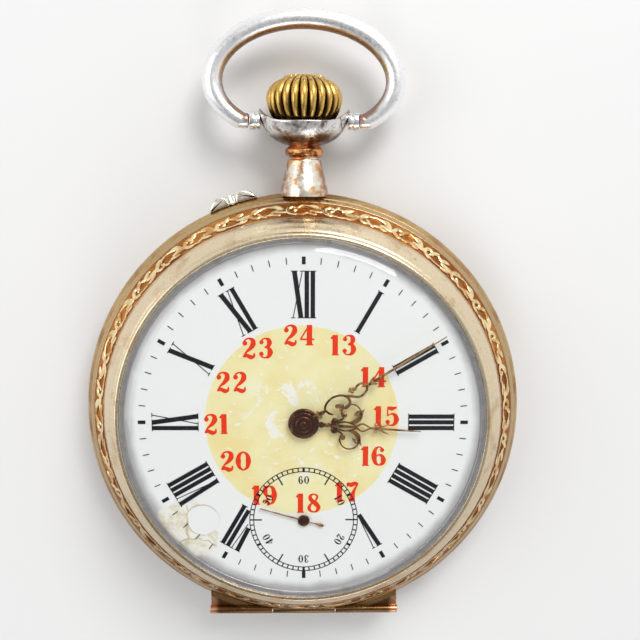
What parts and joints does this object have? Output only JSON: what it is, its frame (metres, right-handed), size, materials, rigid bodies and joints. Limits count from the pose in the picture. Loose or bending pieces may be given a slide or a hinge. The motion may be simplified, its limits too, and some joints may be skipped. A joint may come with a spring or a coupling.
{
  "type": "pocket watch",
  "caption": "Round pendant-wound pocket watch with glazed front bezel, hinged back and dust cover, swinging bow, setting pin, hands and going train.",
  "frame": {"origin": "centre of the flat of the back cover, which the watch lies on", "axes": "+Z out through the dial and the glass; +Y to twelve o'clock and the bow; +X to three o'clock"},
  "size_m": [0.0506, 0.0702, 0.0135],
  "materials": {
    "silvered_metal": "worn silver plate on the pendant, bow and pin guard",
    "plated_copper": "worn plate over a copper-coloured base, on the case shells",
    "gilt_metal": "gilded and worn",
    "brass": "fine-grained brass of plates, bridges and wheels",
    "steel": "polished steel of pinions, arbors and levers",
    "blued_steel": "tempered blue",
    "enamel": "opaque cream and white fired enamel",
    "crystal_glass": "clear domed glass",
    "ruby": "red jewel"
  },
  "bodies": {
    "case": {"back_hinge_pin": "steel", "balance_cock": "brass", "balance_jewel": "ruby", "barrel_bridge": "brass", "barrel_bridge_screw_1": "blued_steel", "barrel_bridge_screw_2": "blued_steel", "barrel_bridge_screw_3": "blued_steel", "bezel_hinge_pin": "steel", "bow_bush_left": "silvered_metal", "bow_bush_right": "silvered_metal", "case_middle": "plated_copper", "click_screw": "blued_steel", "click_spring": "steel", "cock_screw": "blued_steel", "crown_wheel_core": "steel", "cuvette_hinge_pin": "steel", "dial": "enamel", "hairspring": "blued_steel", "mainplate": "brass", "pallet_bridge": "brass", "pendant": "silvered_metal", "pendant_sleeve": "steel", "pin_guard": "silvered_metal", "train_bridge": "brass", "train_bridge_screw_1": "blued_steel", "train_bridge_screw_2": "blued_steel"},
    "bezel": {"bezel": "plated_copper", "crystal": "crystal_glass"},
    "back": {"back_cover": "plated_copper"},
    "dust_cover": {"cuvette": "brass"},
    "bow": {"bow": "silvered_metal"},
    "winding_stem": {"crown": "gilt_metal", "stem": "steel", "winding_pinion": "steel"},
    "clutch": {"clutch": "steel"},
    "set_pin": {"setting_pin": "silvered_metal"},
    "set_lever": {"setting_lever": "steel"},
    "crown_wheel": {"crown_wheel": "steel"},
    "ratchet": {"ratchet_wheel": "steel", "ratchet_screw": "blued_steel", "barrel_arbor": "steel"},
    "click": {"click": "steel"},
    "barrel": {"barrel": "brass", "barrel_cover": "brass", "mainspring": "steel"},
    "minute": {"cannon_pinion": "steel", "minute_hand": "gilt_metal"},
    "centre_wheel": {"centre_wheel": "brass"},
    "hour": {"hour_wheel": "brass", "hour_hand": "gilt_metal"},
    "minute_wheel": {"minute_wheel": "brass"},
    "setting_wheel": {"setting_wheel": "steel"},
    "third_wheel": {"third_wheel": "brass"},
    "fourth_arbor": {"fourth_wheel": "brass", "second_hand": "gilt_metal"},
    "escape_wheel": {"escape_wheel": "brass"},
    "pallet_fork": {"pallet_fork": "steel"},
    "balance": {"balance": "brass"},
    "regulator": {"regulator": "steel"}
  },
  "joints": [
    {"name": "bezel_hinge", "type": "hinge", "parent": "case", "child": "bezel", "pos_m": [0, -0.02445, 0.00588], "axis": [1, 0, 0], "range_deg": [0, 100]},
    {"name": "back_hinge", "type": "hinge", "parent": "case", "child": "back", "pos_m": [0, -0.02445, 0.00332], "axis": [-1, 0, 0], "range_deg": [0, 100]},
    {"name": "dust_cover_hinge", "type": "hinge", "parent": "case", "child": "dust_cover", "pos_m": [0, -0.02295, 0.00252], "axis": [-1, 0, 0], "range_deg": [0, 90]},
    {"name": "bow_swing", "type": "hinge", "parent": "case", "child": "bow", "pos_m": [0, 0.0331, 0.0046], "axis": [1, 0, 0], "range_deg": [-90, 90]},
    {"name": "crown_turn", "type": "hinge", "parent": "case", "child": "winding_stem", "pos_m": [0, 0.03315, 0.0046], "axis": [0, 1, 0], "continuous": true},
    {"name": "clutch_slide", "type": "slide", "parent": "winding_stem", "child": "clutch", "axis": [0, -1, 0], "range_m": [0, 0.00062]},
    {"name": "set_pin_press", "type": "slide", "parent": "case", "child": "set_pin", "axis": [0.3173, -0.9483, 0], "range_m": [0, 0.00035], "stiffness_N_per_m": 400, "springref_m": -0.0005},
    {"name": "set_lever_turn", "type": "hinge", "parent": "case", "child": "set_lever", "pos_m": [-0.0096, 0.0132, 0.0046], "axis": [0, 0, -1], "range_deg": [0, 4.5]},
    {"name": "crown_wheel_turn", "type": "hinge", "parent": "case", "child": "crown_wheel", "pos_m": [0, 0.0139, 0.0027], "axis": [0, 0, 1], "continuous": true},
    {"name": "ratchet_turn", "type": "hinge", "parent": "case", "child": "ratchet", "pos_m": [0.0064, 0.00576, 0.0027], "axis": [0, 0, 1], "continuous": true},
    {"name": "click_lift", "type": "hinge", "parent": "case", "child": "click", "pos_m": [0.0139, 0.0019, 0.0027], "axis": [0, 0, 1], "range_deg": [0, 8], "stiffness_Nm_per_rad": 0.00002, "springref_deg": -5.73},
    {"name": "minute_turn", "type": "hinge", "parent": "case", "child": "minute", "pos_m": [0, 0, 0.0094], "axis": [0, 0, 1], "continuous": true},
    {"name": "centre_turn", "type": "hinge", "parent": "case", "child": "centre_wheel", "pos_m": [0, 0, 0.006], "axis": [0, 0, 1], "continuous": true},
    {"name": "hour_turn", "type": "hinge", "parent": "case", "child": "hour", "pos_m": [0, 0, 0.0096], "axis": [0, 0, 1], "continuous": true},
    {"name": "minute_wheel_turn", "type": "hinge", "parent": "case", "child": "minute_wheel", "pos_m": [0, 0.0048, 0.0093], "axis": [0, 0, 1], "continuous": true},
    {"name": "setting_wheel_turn", "type": "hinge", "parent": "case", "child": "setting_wheel", "pos_m": [0, 0.0124, 0.0093], "axis": [0, 0, 1], "continuous": true},
    {"name": "barrel_turn", "type": "hinge", "parent": "case", "child": "barrel", "pos_m": [0.0064, 0.00576, 0.005], "axis": [0, 0, 1], "continuous": true},
    {"name": "third_turn", "type": "hinge", "parent": "case", "child": "third_wheel", "pos_m": [0.00308, -0.00651, 0.0064], "axis": [0, 0, 1], "continuous": true},
    {"name": "second_turn", "type": "hinge", "parent": "case", "child": "fourth_arbor", "pos_m": [0, -0.0114, 0.005], "axis": [0, 0, 1], "continuous": true},
    {"name": "escape_turn", "type": "hinge", "parent": "case", "child": "escape_wheel", "pos_m": [-0.00522, -0.00942, 0.0063], "axis": [0, 0, 1], "continuous": true},
    {"name": "fork_swing", "type": "hinge", "parent": "case", "child": "pallet_fork", "pos_m": [-0.00709, -0.00596, 0.0063], "axis": [0, 0, 1], "range_deg": [-4.5, 4.5]},
    {"name": "balance_swing", "type": "hinge", "parent": "case", "child": "balance", "pos_m": [-0.0095, -0.0015, 0.005], "axis": [0, 0, 1], "range_deg": [-270, 270], "stiffness_Nm_per_rad": 0.000007},
    {"name": "regulator_turn", "type": "hinge", "parent": "case", "child": "regulator", "pos_m": [-0.0095, -0.0015, 0.0028], "axis": [0, 0, 1], "range_deg": [-12, 12]}
  ],
  "couplings": [
    {"joint": "dust_cover_hinge", "follows": "back_hinge", "ratio": 0.9},
    {"joint": "clutch_slide", "follows": "set_pin_press", "ratio": 1.7714},
    {"joint": "set_lever_turn", "follows": "set_pin_press", "rad_per_m": 203.71},
    {"joint": "crown_wheel_turn", "follows": "crown_turn", "ratio": 0.5},
    {"joint": "ratchet_turn", "follows": "crown_turn", "ratio": -0.26667},
    {"joint": "hour_turn", "follows": "minute_turn", "ratio": 0.083333},
    {"joint": "minute_wheel_turn", "follows": "minute_turn", "ratio": -0.33333},
    {"joint": "setting_wheel_turn", "follows": "minute_turn", "ratio": 0.3},
    {"joint": "third_turn", "follows": "second_turn", "ratio": -0.13333},
    {"joint": "centre_turn", "follows": "second_turn", "ratio": 0.016667},
    {"joint": "barrel_turn", "follows": "second_turn", "ratio": -0.0023148},
    {"joint": "escape_turn", "follows": "second_turn", "ratio": -10}
  ]
}
